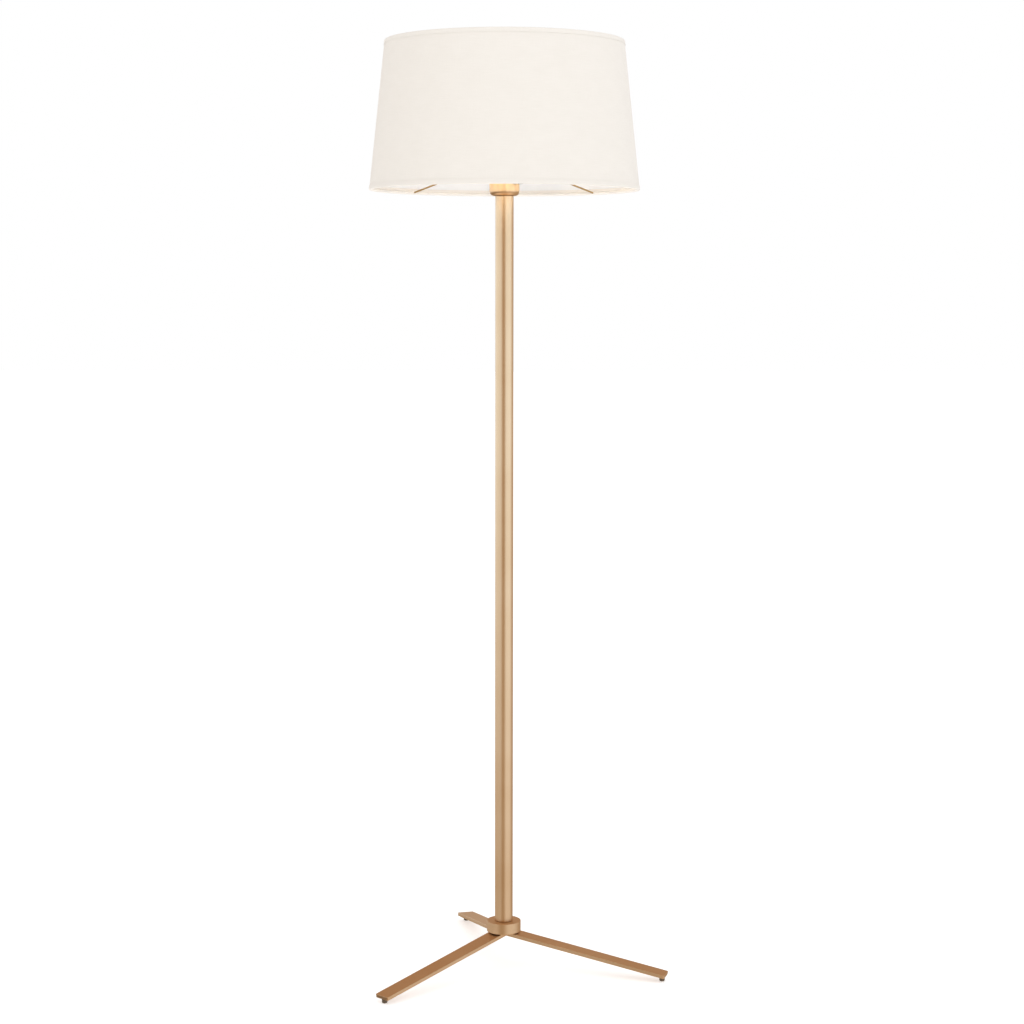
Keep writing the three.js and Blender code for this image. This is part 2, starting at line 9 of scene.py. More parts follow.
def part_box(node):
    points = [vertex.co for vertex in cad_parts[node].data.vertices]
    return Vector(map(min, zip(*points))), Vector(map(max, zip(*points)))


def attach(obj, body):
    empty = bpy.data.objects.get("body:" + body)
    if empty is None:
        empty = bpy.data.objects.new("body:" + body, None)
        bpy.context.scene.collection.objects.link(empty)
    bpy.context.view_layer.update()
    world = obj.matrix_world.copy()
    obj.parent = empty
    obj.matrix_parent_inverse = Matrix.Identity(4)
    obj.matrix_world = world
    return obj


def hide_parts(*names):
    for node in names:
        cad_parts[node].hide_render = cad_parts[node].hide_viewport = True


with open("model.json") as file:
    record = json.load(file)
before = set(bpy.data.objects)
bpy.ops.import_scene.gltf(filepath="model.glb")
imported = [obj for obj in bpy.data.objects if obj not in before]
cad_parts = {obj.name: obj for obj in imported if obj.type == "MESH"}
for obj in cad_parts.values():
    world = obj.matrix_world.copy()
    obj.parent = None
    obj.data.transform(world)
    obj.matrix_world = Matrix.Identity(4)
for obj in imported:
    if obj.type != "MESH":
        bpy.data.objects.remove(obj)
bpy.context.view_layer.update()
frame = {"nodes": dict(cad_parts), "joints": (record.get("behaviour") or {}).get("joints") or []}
nodes = frame["nodes"]

# ---- Camera. A long lens, a little above half the lamp's height and nearly level, so that the eye
# looks up into the shade's lower mouth and down on the three legs.
camera = bpy.data.objects.new("camera", bpy.data.cameras.new("camera"))
camera.data.sensor_width = 36
camera.data.lens = 76.77
camera.location = (0, -3.726, 1.1665)
camera.rotation_euler = (radians(84.339), radians(-0.074), radians(-0.199))
bpy.context.scene.collection.objects.link(camera)
bpy.context.scene.camera = camera


# ---- Studio. A white sweep and even light from all round. The metal mirrors a bright window on the
# right, a paler one on the left, the dark of the camera between them, brown above and tan straight below.
class Value:
    """An output socket that can be used in ordinary arithmetic."""

    def __init__(self, shader, socket):
        self.shader = shader
        self.socket = socket

    def maths(self, operation, *terms):
        return self.shader.node("ShaderNodeMath", {"operation": operation}, dict(enumerate(terms)))

    def __add__(self, other):
        return self.maths("ADD", self, other)

    def __radd__(self, other):
        return self.maths("ADD", other, self)

    def __sub__(self, other):
        return self.maths("SUBTRACT", self, other)

    def __rsub__(self, other):
        return self.maths("SUBTRACT", other, self)

    def __mul__(self, other):
        return self.maths("MULTIPLY", self, other)

    def __rmul__(self, other):
        return self.maths("MULTIPLY", other, self)

    def __pow__(self, other):
        return self.maths("POWER", self, other)

    def above(self, floor):
        return self.maths("MAXIMUM", self, floor)

    def below(self, ceiling):
        return self.maths("MINIMUM", self, ceiling)

    def sine(self):
        return self.maths("SINE", self)

    def step(self, start, end):
        """Nought before start, one after end, and smooth between."""
        sockets = {"Value": self, "From Min": start, "From Max": end}
        return self.shader.node("ShaderNodeMapRange", {"interpolation_type": "SMOOTHSTEP"}, sockets)


class Shader:
    """A node tree, with one way to add a node to it."""

    def __init__(self, tree):
        self.tree = tree
        tree.nodes.clear()

    def node(self, kind, settings=None, sockets=None, output=0):
        made = self.tree.nodes.new(kind)
        for name, setting in (settings or {}).items():
            setattr(made, name, setting)
        for name, value in (sockets or {}).items():
            if isinstance(value, Value):
                self.tree.links.new(value.socket, made.inputs[name])
            else:
                made.inputs[name].default_value = value
        return Value(self, made.outputs[output]) if made.outputs else None

    def mix(self, share, first, second):
        """A colour between two colours."""
        return self.node("ShaderNodeMix", {"data_type": "RGBA"}, {0: share, 6: first, 7: second}, 2)

    def axes(self, source, output):
        """The x, y and z of a coordinate."""
        split = self.node("ShaderNodeSeparateXYZ", None, {0: self.node(source, None, None, output)})
        return [Value(self, split.socket.node.outputs[i]) for i in range(3)]


WHITE = (1, 1, 1, 1)
# what the metal mirrors: level and low parts of the windows and of the dark between them, and the rest
WINDOW_LEVEL = (1.24, 1.40, 1.62, 1)
WINDOW_LOW = (0.72, 0.55, 0.43, 1)
DARK_LEVEL = (0.55, 0.42, 0.31, 1)
DARK_LOW = (0.45, 0.32, 0.21, 1)
OVERHEAD = (0.44, 0.27, 0.17, 1)
UNLIT_SIDE = (0.06, 0.035, 0.02, 1)
STRAIGHT_DOWN = (0.84, 0.56, 0.36, 1)
DOWN_ASIDE = (1.25, 1.05, 0.92, 1)
UNLIT_TURN = 0.14
UNLIT_GAIN = 1.3
WINDOW_EVERYWHERE = 0.05
LESS_LOW_DOWN = 0.02
# what lights the matt pieces
EVEN_LEFT = (0.79, 0.76, 0.73, 1)
EVEN_RIGHT = (0.85, 0.85, 0.855, 1)
# bearing from the camera, positive to the right; narrowness; strength; greatest share; share lost low down
WINDOWS = [(-85, 1, 1.3, 0.8, 0.75), (52, 2.5, 1.4, 1.0, 0.1), (-10, 16, -0.9, 1.0, 0)]

world = bpy.data.worlds.new("studio")
bpy.context.scene.world = world
world.use_nodes = True
sky = Shader(world.node_tree)
across, along, up = sky.axes("ShaderNodeTexCoord", "Generated")
low_down = 1 - up.step(-0.3, -0.05)
window = low_down * -LESS_LOW_DOWN + WINDOW_EVERYWHERE
for bearing, narrowness, strength, most, lost in WINDOWS:
    facing = across * sin(radians(bearing)) - along * cos(radians(bearing))
    window = window + (facing.above(0) ** narrowness * strength).below(most) * (1 - low_down * lost)
window = window.above(0).below(1) * (1 - up.step(0.07, 0.24))
bright = sky.mix(up.step(-0.35, -0.03), WINDOW_LOW, WINDOW_LEVEL)
dark = sky.mix(up.step(0.05, 0.3), sky.mix(low_down, DARK_LEVEL, DARK_LOW), OVERHEAD)
unlit = ((along * UNLIT_TURN - across) * UNLIT_GAIN).above(0).below(1)
unlit = unlit * (1 - up.step(-0.52, -0.38)) * up.step(-0.72, -0.58)
mirrored = sky.mix(unlit, sky.mix(window, dark, bright), UNLIT_SIDE)
from_below = sky.mix((across * across).step(0, 0.3), STRAIGHT_DOWN, DOWN_ASIDE)
mirrored = sky.mix(1 - up.step(-0.88, -0.68), mirrored, from_below)
even = sky.mix(across.step(-0.8, 0.8), EVEN_LEFT, EVEN_RIGHT)
seen = sky.node("ShaderNodeLightPath", None, None, "Is Camera Ray")
glossy = sky.node("ShaderNodeLightPath", None, None, "Is Glossy Ray")
light = sky.mix(seen, sky.mix(glossy, even, mirrored), WHITE)
glow = sky.node("ShaderNodeBackground", None, {"Color": light, "Strength": 1.0})
sky.node("ShaderNodeOutputWorld", None, {"Surface": glow})
bpy.context.scene.view_settings.view_transform = "Standard"

FLOOR_HALF = 30
sweep = bpy.data.meshes.new("floor")
sweep.from_pydata([(x * FLOOR_HALF, y * FLOOR_HALF, 0) for x, y in ((-1, -1), (1, -1), (1, 1), (-1, 1))], [],
                  [(0, 1, 2, 3)])
floor = bpy.data.objects.new("floor", sweep)
bpy.context.scene.collection.objects.link(floor)
floor.visible_glossy = False
paint = bpy.data.materials.new("floor_paint")
paint.use_nodes = True
board = Shader(paint.node_tree)
mottle = board.node("ShaderNodeTexNoise", None, {"Scale": 3.0, "Detail": 3.0})
matt = board.node("ShaderNodeBsdfPrincipled", None, {
    "Base Color": board.mix(mottle, (0.80, 0.80, 0.80, 1), (0.84, 0.84, 0.84, 1)), "Roughness": 0.9,
    "Emission Color": WHITE, "Emission Strength": 0.5})
board.node("ShaderNodeOutputMaterial", None, {"Surface": matt})
sweep.materials.append(paint)

# Two softboxes shape the cloth and give the feet their contact shadows; the metal doesn't mirror them.
# Each has its place, size and watts
AIMED_AT = Vector((0, 0, 0.8))
SOFTBOXES = {"key": (Vector((1.6, -2.6, 3.0)), 2.4, 20), "fill": (Vector((-2.6, -1.4, 2.4)), 2.2, 8)}
for name, (spot, size, watts) in SOFTBOXES.items():
    lamp = bpy.data.lights.new(name, "AREA")
    lamp.size = size
    lamp.energy = watts
    softbox = bpy.data.objects.new(name, lamp)
    softbox.location = spot
    softbox.rotation_euler = (AIMED_AT - spot).to_track_quat("-Z", "Y").to_euler()
    softbox.visible_glossy = False
    bpy.context.scene.collection.objects.link(softbox)


# ---- Hub. A turned and plated disc with eased edges; the pole stands on it, and a shallow chamber in
# its underside takes the wiring, which comes in through a bushed hole in its side.
def place(name, mesh, body, material, slot, *stands_for):
    """Shows a mesh as a piece that rides on a body and stands for CAD nodes."""
    made = bpy.data.objects.new(name, mesh)
    bpy.context.scene.collection.objects.link(made)
    mesh.materials.append(material)
    mesh.shade_smooth()
    mesh.set_sharp_from_angle(angle=radians(32))
    made.modifiers.new("flat_faces_stay_flat", "WEIGHTED_NORMAL").keep_sharp = True
    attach(made, body)
    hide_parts(*stands_for)
    return made


def turned(name, outline, steps=128, wave=None, extra=()):
    """A mesh turned about Z. The outline lists (radius, height) anticlockwise; a radius of 0 ends it.
    wave(turn, radius, height) may give each point another radius, and extra lists more angles to step at."""
    turns = sorted([2 * pi * i / steps for i in range(steps)] + list(extra))
    steps = len(turns)
    verts, rings = [], []
    for radius, height in outline:
        if radius == 0:
            rings.append([len(verts)] * steps)
            verts.append((0, 0, height))
            continue
        rings.append(list(range(len(verts), len(verts) + steps)))
        for turn in turns:
            reach = wave(turn, radius, height) if wave else radius
            verts.append((reach * cos(turn), reach * sin(turn), height))
    if outline[0][0] and outline[-1][0]:
        rings.append(rings[0])
    faces = []
    for ring, following in zip(rings, rings[1:]):
        for i in range(steps):
            j = (i + 1) % steps
            face = list(dict.fromkeys((ring[i], ring[j], following[j], following[i])))
            if len(face) > 2:
                faces.append(face)
    mesh = bpy.data.meshes.new(name)
    mesh.from_pydata(verts, [], faces)
    return mesh


def eased(points, sizes, steps=5):
    """The outline with each corner that has a size in sizes rounded off, {index: radius}."""
    made = []
    for i, point in enumerate(points):
        if i not in sizes:
            made.append(point)
            continue
        corner = Vector(point)
        back = (Vector(points[i - 1]) - corner).normalized()
        on = (Vector(points[(i + 1) % len(points)]) - corner).normalized()
        half = back.angle(on) / 2
        reach = sizes[i] / tan(half)
        centre = corner + (back + on).normalized() * sizes[i] / sin(half)
        start = (corner + back * reach) - centre
        end = (corner + on * reach) - centre
        sweep_angle = start.angle_signed(end)
        for k in range(steps + 1):
            spoke = start.copy()
            spoke.rotate(Matrix.Rotation(-sweep_angle * k / steps, 2))
            made.append(tuple(centre + spoke))
    return made


def drilled(mesh, *drills):
    """The mesh with the shapes of the drills cut out of it."""
    stock = bpy.data.objects.new("stock", mesh)
    tools = [bpy.data.objects.new("drill", drill) for drill in drills]
    for each in [stock] + tools:
        bpy.context.scene.collection.objects.link(each)
    for tool in tools:
        cut = stock.modifiers.new("drill", "BOOLEAN")
        cut.object = tool
        cut.operation = "DIFFERENCE"
        cut.solver = "EXACT"
    made = bpy.data.meshes.new_from_object(stock.evaluated_get(bpy.context.evaluated_depsgraph_get()))
    for each in [stock] + tools:
        bpy.data.objects.remove(each)
    return made


def drill(radius, start, end, direction, height):
    """A round drill that points out from the pole's axis, in a direction and at a height."""
    bit = turned("drill", [(0, start), (radius, start), (radius, end), (0, end)], 48)
    bit.transform(Matrix.Translation((0, 0, height)) @ direction.to_track_quat("Z", "Y").to_matrix().to_4x4())
    return bit


def middle(node):
    low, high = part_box(node)
    return (low + high) / 2


def direction_of(node):
    """The level direction from the pole's axis to the middle of a node."""
    centre = middle(node)
    return Vector((centre.x, centre.y, 0)).normalized()


GOLD = (0.82, 0.62, 0.395, 1)
GOLD_DEEP = (0.76, 0.55, 0.33, 1)


def satin_gold(name, brushed, roughness=0.3):
    """Plated and brushed metal. brushed is 'round' for a turned piece, 'up' for a drawn one or an angle
    in the floor plane for a bar; the scratches run that way."""
    material = bpy.data.materials.new(name)
    material.use_nodes = True
    shader = Shader(material.node_tree)
    x, y, z = shader.axes("ShaderNodeTexCoord", "Object")
    if brushed == "round":
        bearing = y.maths("ARCTAN2", y, x)
        radius = (x * x + y * y) ** 0.5
        parts = (bearing * 0.012, radius, z)
    elif brushed == "up":
        parts = (x, y, z * 0.02)
    else:
        lengthways = x * cos(brushed) + y * sin(brushed)
        sideways = y * cos(brushed) - x * sin(brushed)
        parts = (lengthways * 0.02, sideways, z)
    grain_at = shader.node("ShaderNodeCombineXYZ", None, dict(enumerate(parts)))
    grain = shader.node("ShaderNodeTexNoise", None,
                        {"Vector": grain_at, "Scale": 2600.0, "Detail": 3.0, "Roughness": 0.6})
    cloud = shader.node("ShaderNodeTexNoise", None, {"Vector": shader.node(
        "ShaderNodeTexCoord", None, None, "Object"), "Scale": 9.0, "Detail": 2.0})
    colour = shader.mix((cloud * 0.7 + grain * 0.3).step(0.35, 0.65), GOLD_DEEP, GOLD)
    bump = shader.node("ShaderNodeBump", None, {"Height": grain, "Strength": 0.05, "Distance": 0.00002})
    metal = shader.node("ShaderNodeBsdfPrincipled", None, {
        "Base Color": colour, "Metallic": 1.0, "Roughness": grain * 0.1 + cloud * 0.06 + (roughness - 0.08),
        "Coat Weight": 0.12, "Coat Roughness": 0.22, "Normal": bump})
    shader.node("ShaderNodeOutputMaterial", None, {"Surface": metal})
    return material


GAP = 0.0003
HUB_EDGE = 0.0009
WIRING_RADIUS = 0.010
WIRING_DEPTH = 0.0114
ROD_HOLE = 0.0053
INLET_RADIUS = 0.004

hub_low, hub_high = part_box("base_hub")
hub_radius = hub_high.x
hub_floor = hub_low.z
chamber_top = hub_floor + WIRING_DEPTH
hub_outline = eased([(ROD_HOLE, chamber_top), (WIRING_RADIUS, chamber_top), (WIRING_RADIUS, hub_floor),
                     (hub_radius, hub_floor), (hub_radius, hub_high.z), (ROD_HOLE, hub_high.z)],
                    {3: HUB_EDGE, 4: HUB_EDGE})
inlet = drill(INLET_RADIUS, 0, 2 * hub_radius, direction_of("cord_inlet_bush"), middle("cord_inlet_bush").z)
gold_turned = satin_gold("gold_turned", "round", 0.34)
hub = drilled(turned("hub", hub_outline, 192), inlet)
place("base_hub_turned", hub, "stand", gold_turned, "satin_gold", "base_hub")

# The rubber bush that lines the cord inlet, a lathe-turned bead on a sleeve, pushed in from outside
RUBBER = (0.022, 0.020, 0.018, 1)


def moulded(name, colour, roughness, grain_size, coat=0.0):
    """A moulded piece: a fine spark-eroded grain in its roughness and surface."""
    material = bpy.data.materials.new(name)
    material.use_nodes = True
    shader = Shader(material.node_tree)
    at = shader.node("ShaderNodeTexCoord", None, None, "Object")
    grain = shader.node("ShaderNodeTexNoise", None, {"Vector": at, "Scale": 1 / grain_size, "Detail": 4.0})
    cloud = shader.node("ShaderNodeTexNoise", None, {"Vector": at, "Scale": 60.0, "Detail": 2.0})
    lighter = tuple(min(1, c * 1.25 + 0.004) for c in colour[:3]) + (1,)
    bump = shader.node("ShaderNodeBump", None, {"Height": grain, "Strength": 0.25,
                                                "Distance": grain_size / 4})
    skin = shader.node("ShaderNodeBsdfPrincipled", None, {
        "Base Color": shader.mix(cloud.step(0.35, 0.7), colour, lighter),
        "Roughness": grain * 0.2 + (roughness - 0.1), "Coat Weight": coat, "Normal": bump})
    shader.node("ShaderNodeOutputMaterial", None, {"Surface": skin})
    return material


rubber = moulded("black_rubber", RUBBER, 0.62, 0.0004)


def coat(carried, material):
    """Gives a CAD node, kept as it is, a finish."""
    nodes[carried].data.materials.clear()
    nodes[carried].data.materials.append(material)


coat("cord_inlet_bush", rubber)


# ---- Legs. Three 29.4 x 6.3 mm flat bars with eased edges, mitred against each other under the hub and
# held up to it by two countersunk screws each; the plating is brushed along the bar.
LEG_WIDTH = 0.0294
LEG_THICKNESS = 0.0063
LEG_SLOPE = radians(10)
LEG_LENGTH = 0.2969
LEG_TOP_RISE = 0.003  # of the bars' top faces above the hub's underside, where they would meet the axis
LEG_CORNER = 0.0024
LEG_EDGE = 0.0007
SIDES = ("right", "front_left", "back")
SCREW_HEAD = 0.0043
SCREW_SHANK = 0.0023
SCREW_HEAD_DEPTH = 0.0022
SCREW_SUNK = 0.0002
SCREW_OUT = 0.015
SCREW_ASIDE = 0.0075
PAST_FACE = 0.001


def bearing_of(node):
    direction = direction_of(node)
    return atan2(direction.y, direction.x)


def cut_away(bm, point, normal):
    """Removes what lies on the normal's side of a plane and closes the cut."""
    every = bm.verts[:] + bm.edges[:] + bm.faces[:]
    cut = bmesh.ops.bisect_plane(bm, geom=every, plane_co=point, plane_no=normal, clear_outer=True)
    edges = [e for e in cut["geom_cut"] if isinstance(e, bmesh.types.BMEdge)]
    bmesh.ops.holes_fill(bm, edges=edges)


bearings = {side: bearing_of(f"foot_{side}") for side in SIDES}
leg_axis_top = hub_floor + LEG_TOP_RISE
countersink_outline = [(0, -PAST_FACE), (SCREW_HEAD, -PAST_FACE), (SCREW_HEAD, SCREW_SUNK),
                       (SCREW_SHANK, SCREW_HEAD_DEPTH), (SCREW_SHANK, LEG_WIDTH), (0, LEG_WIDTH)]
for side, bearing in bearings.items():
    plan = eased([(-LEG_WIDTH, -LEG_WIDTH / 2), (LEG_LENGTH, -LEG_WIDTH / 2), (LEG_LENGTH, LEG_WIDTH / 2),
                  (-LEG_WIDTH, LEG_WIDTH / 2)], {1: LEG_CORNER, 2: LEG_CORNER}, 8)
    bm = bmesh.new()
    base = bm.faces.new([bm.verts.new((x, y, -LEG_THICKNESS)) for x, y in plan])
    lifted = bmesh.ops.extrude_face_region(bm, geom=[base])
    risen = [v for v in lifted["geom"] if isinstance(v, bmesh.types.BMVert)]
    bmesh.ops.translate(bm, verts=risen, vec=(0, 0, LEG_THICKNESS))
    bmesh.ops.recalc_face_normals(bm, faces=bm.faces)
    rims = [e for e in bm.edges if abs(e.verts[0].co.z - e.verts[1].co.z) < 1e-6]
    bmesh.ops.bevel(bm, geom=rims, offset=LEG_EDGE, segments=4, profile=0.5, affect="EDGES")
    lay = (Matrix.Rotation(bearing, 4, "Z") @ Matrix.Translation((0, 0, leg_axis_top))
           @ Matrix.Rotation(LEG_SLOPE, 4, "Y"))
    bm.transform(lay)
    cut_away(bm, (0, 0, hub_floor - GAP), (0, 0, 1))
    for other in bearings.values():
        between = (other - bearing + pi) % (2 * pi) - pi
        if abs(between) > 1e-6:
            away = bearing + between / 2 + (pi / 2 if between > 0 else -pi / 2)
            normal = Vector((cos(away), sin(away), 0))
            cut_away(bm, normal * -GAP / 2, normal)
    bmesh.ops.recalc_face_normals(bm, faces=bm.faces)
    mesh = bpy.data.meshes.new(f"leg_{side}")
    bm.to_mesh(mesh)
    bm.free()
    countersinks = []
    for aside in (-SCREW_ASIDE, SCREW_ASIDE):
        countersink = turned("countersink", countersink_outline, 48)
        countersink.transform(lay @ Matrix.Translation((SCREW_OUT, aside, -LEG_THICKNESS)))
        countersinks.append(countersink)
    mesh = drilled(mesh, *countersinks)
    gold_bar = satin_gold(f"gold_bar_{side}", bearing, 0.36)
    place(f"leg_{side}_bar", mesh, "stand", gold_bar, "satin_gold", f"leg_{side}")


# ---- Feet and leg screws. Glossy domed studs of smoke-brown rubber pressed into the bars' undersides,
# and zinc-plated countersunk screws with a hexagon socket, flush with the bars.
FOOT_RADIUS = 0.0047
FOOT_FLAT = 0.0033
FOOT_SHOULDER = 0.0014
FLAT_ROUND = 0.0012
SHOULDER_ROUND = 0.0016
FOOT_PLAY = 0.0001
FOOT_TOP = LEG_THICKNESS + FOOT_PLAY
ZINC = (0.55, 0.56, 0.58, 1)
SMOKE_BROWN = (0.085, 0.062, 0.038, 1)


def plain_metal(name, colour, roughness, mottled=0.85):
    """Plated or drawn metal that is not brushed: a faint cloudiness in its colour and gloss."""
    material = bpy.data.materials.new(name)
    material.use_nodes = True
    shader = Shader(material.node_tree)
    at = shader.node("ShaderNodeTexCoord", None, None, "Object")
    cloud = shader.node("ShaderNodeTexNoise", None, {"Vector": at, "Scale": 120.0, "Detail": 4.0})
    darker = tuple(c * mottled for c in colour[:3]) + (1,)
    metal = shader.node("ShaderNodeBsdfPrincipled", None, {
        "Base Color": shader.mix(cloud.step(0.3, 0.7), darker, colour), "Metallic": 1.0,
        "Roughness": cloud * 0.16 + (roughness - 0.08)})
    shader.node("ShaderNodeOutputMaterial", None, {"Surface": metal})
    return material


zinc = plain_metal("zinc_plate", ZINC, 0.38)
stud_rubber = moulded("stud_rubber", SMOKE_BROWN, 0.3, 0.0003, 0.8)
for side, bearing in bearings.items():
    foot_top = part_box(f"foot_{side}")[1].z
    centre = middle(f"foot_{side}")
    foot_out = hypot(centre.x, centre.y)
    dome = eased([(0, 0), (FOOT_FLAT, 0), (FOOT_RADIUS, FOOT_SHOULDER), (FOOT_RADIUS, foot_top),
                  (0, foot_top)], {1: FLAT_ROUND, 2: SHOULDER_ROUND}, 6)
    bm = bmesh.new()
    bm.from_mesh(turned("foot", dome, 48))
    bm.transform(Matrix.Translation((foot_out * cos(bearing), foot_out * sin(bearing), 0)))
    tilt = Vector((sin(LEG_SLOPE) * cos(bearing), sin(LEG_SLOPE) * sin(bearing), cos(LEG_SLOPE)))
    cut_away(bm, Vector((0, 0, leg_axis_top)) - tilt * FOOT_TOP, tilt)
    mesh = bpy.data.meshes.new(f"foot_{side}")
    bm.to_mesh(mesh)
    bm.free()
    place(f"foot_{side}_stud", mesh, "stand", stud_rubber, "black_rubber", f"foot_{side}")
    coat(f"leg_screw_{side}_1", zinc)
    coat(f"leg_screw_{side}_2", zinc)


# ---- Pole. A drawn tube with polished, slightly eased ends, clamped between the hub and the cup by a
# hollow threaded rod; nuts, washers, nylon bushes and the flex are inside it.
POLE_WALL = 0.0012
POLE_EDGE = 0.0005
pole_low, pole_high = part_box("pole_tube")
pole_radius = pole_high.x
bore = pole_radius - POLE_WALL
pole_outline = eased([(bore, pole_low.z), (pole_radius, pole_low.z), (pole_radius, pole_high.z),
                      (bore, pole_high.z)], {1: POLE_EDGE, 2: POLE_EDGE}, 3)
gold_drawn = satin_gold("gold_drawn", "up", 0.3)
place("pole_tube_drawn", turned("pole", pole_outline, 256), "stand", gold_drawn, "satin_gold", "pole_tube")

nylon = moulded("white_nylon", (0.62, 0.6, 0.54, 1), 0.5, 0.0006)
sheath = moulded("flex_sheath", (0.72, 0.67, 0.56, 1), 0.42, 0.0008)
for carried in ("pole_tie_rod", "rod_nut_lower", "rod_nut_upper", "rod_washer_lower", "rod_washer_upper"):
    coat(carried, zinc)
coat("pole_bush_lower", nylon)
coat("pole_bush_upper", nylon)
coat("inner_flex", sheath)


# ---- Cup. A spun shell with a full rounded lower edge and a rolled lip, plated like the pole, with a
# hole in its side for the switch spindle.
CUP_WALL = 0.001
CUP_FILLET = 0.008
LIP_ROUND = CUP_WALL * 0.45
SPINDLE_HOLE = 0.003
HOLE_FROM = 0.008
HOLE_TO = 0.05
cup_low, cup_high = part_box("lampholder_cup")
cup_radius = max(cup_high.x, cup_high.y)
cup_outline = [(ROD_HOLE, cup_low.z), (cup_radius, cup_low.z), (cup_radius, cup_high.z),
               (cup_radius - CUP_WALL, cup_high.z), (cup_radius - CUP_WALL, cup_low.z + CUP_WALL),
               (ROD_HOLE, cup_low.z + CUP_WALL)]
cup_outline = eased(cup_outline, {1: CUP_FILLET, 2: LIP_ROUND, 3: LIP_ROUND, 4: CUP_FILLET - CUP_WALL}, 8)
switch = next(j for j in frame["joints"] if j["name"] == "switch_turn")
outward = Vector(switch["axis"]).normalized()
spindle_level = middle("switch_spindle").z
spindle_drill = drill(SPINDLE_HOLE, HOLE_FROM, HOLE_TO, outward, spindle_level)
cup = drilled(turned("cup", cup_outline, 192), spindle_drill)
place("lampholder_cup_spun", cup, "stand", gold_turned, "satin_gold", "lampholder_cup")


# ---- Lampholder. A black moulded body whose collar closes the cup; its sleeve is threaded outside for
# the clamping ring and lined with a rolled brass shell for the bulb's cap.
SLEEVE_PITCH = 0.0024
SLEEVE_THREAD = 0.0005
SHELL_PITCH = 0.00362
SHELL_THREAD = 0.0006
SHELL_WALL = 0.0006
BODY_WALL = 0.0035
BODY_FLOOR = 0.0035
SOCKET_RADIUS = 0.015
SOCKET_DEPTH = 0.024
PARTITION = 0.005
SLEEVE_RADIUS = 0.0193
SLEEVE_HEIGHT = 0.015
BODY_RADIUS = 0.021
BRASS = (0.58, 0.42, 0.20, 1)


def threaded(start, end, pitch, depth, lies_between):
    """A wave for turned(): a helical thread cut into the radii that lies_between picks."""

    def wave(turn, radius, height):
        if not lies_between(radius) or not start < height < end:
            return radius
        fade = min(1, (height - start) / pitch, (end - height) / pitch)
        return radius - depth * fade * (0.5 - 0.5 * cos(2 * pi * height / pitch - turn))

    return wave


black = moulded("black_moulding", (0.016, 0.016, 0.015, 1), 0.42, 0.0005, 0.1)
body_low, body_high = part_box("lampholder_body")
collar_radius = body_high.x
sleeve_base = body_high.z - SLEEVE_HEIGHT
socket_floor = body_high.z - SOCKET_DEPTH
collar_base = cup_high.z + GAP
wiring = BODY_RADIUS - BODY_WALL
body_floor = body_low.z + BODY_FLOOR
body_outline = [(0, socket_floor - PARTITION), (wiring, socket_floor - PARTITION), (wiring, body_floor),
                (ROD_HOLE, body_floor), (ROD_HOLE, body_low.z),
                (BODY_RADIUS, body_low.z), (BODY_RADIUS, collar_base), (collar_radius, collar_base),
                (collar_radius, sleeve_base)]
sleeve_steps = 48
for i in range(sleeve_steps + 1):
    body_outline.append((SLEEVE_RADIUS, sleeve_base + SLEEVE_HEIGHT * i / sleeve_steps))
body_outline += [(SOCKET_RADIUS, body_high.z), (SOCKET_RADIUS, socket_floor), (0, socket_floor)]
thread = threaded(sleeve_base, body_high.z, SLEEVE_PITCH, SLEEVE_THREAD,
                  lambda radius: abs(radius - SLEEVE_RADIUS) < 1e-6)
holder = drilled(turned("body", body_outline, 96, thread), spindle_drill)
place("lampholder_body_moulded", holder, "stand", black, "black_moulding", "lampholder_body")

shell_low, shell_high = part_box("lampholder_shell")
shell_radius = shell_high.x
shell_steps = 40
rise = (shell_high.z - shell_low.z) / shell_steps
shell_outline = [(shell_radius, shell_low.z + rise * i) for i in range(shell_steps + 1)]
shell_outline += [(shell_radius - SHELL_WALL, shell_high.z - rise * i) for i in range(shell_steps + 1)]
thread = threaded(shell_low.z, shell_high.z, SHELL_PITCH, SHELL_THREAD, lambda radius: True)
brass = plain_metal("brass_plate", BRASS, 0.3)
place("lampholder_shell_rolled", turned("shell", shell_outline, 96, thread), "stand", brass, "brass_plate",
      "lampholder_shell")
coat("lampholder_contact", brass)


# ---- Turn switch. A brass spindle with its rotor in the lampholder, and a black knob outside the cup
# with rounded flutes and a domed end.
KNOB_FLUTES = 12
KNOB_RADIUS = 0.007
KNOB_LENGTH = 0.012
KNOB_START = 0.0274  # from the pole's axis
FLUTE_DEPTH = 0.0005
KNOB_BORE = 0.0029
BORE_DEPTH = 0.0093
FLUTED_BEYOND = 0.005
KNOB_FOOT_ROUND = 0.0006
KNOB_DOME = 0.0018


def fluted(turn, radius, height):
    return radius - (FLUTE_DEPTH * (0.5 - 0.5 * cos(KNOB_FLUTES * turn)) if radius > FLUTED_BEYOND else 0)


knob_outline = eased([(0, BORE_DEPTH), (KNOB_BORE, BORE_DEPTH), (KNOB_BORE, 0), (KNOB_RADIUS, 0),
                      (KNOB_RADIUS, KNOB_LENGTH), (0, KNOB_LENGTH)], {3: KNOB_FOOT_ROUND, 4: KNOB_DOME}, 6)
knob = turned("knob", knob_outline, 144, fluted)
knob.transform(Matrix.Translation(outward * KNOB_START + Vector((0, 0, spindle_level)))
               @ outward.to_track_quat("Z", "Y").to_matrix().to_4x4())
place("switch_knob_fluted", knob, "switch", black, "black_moulding", "switch_knob")
coat("switch_spindle", brass)


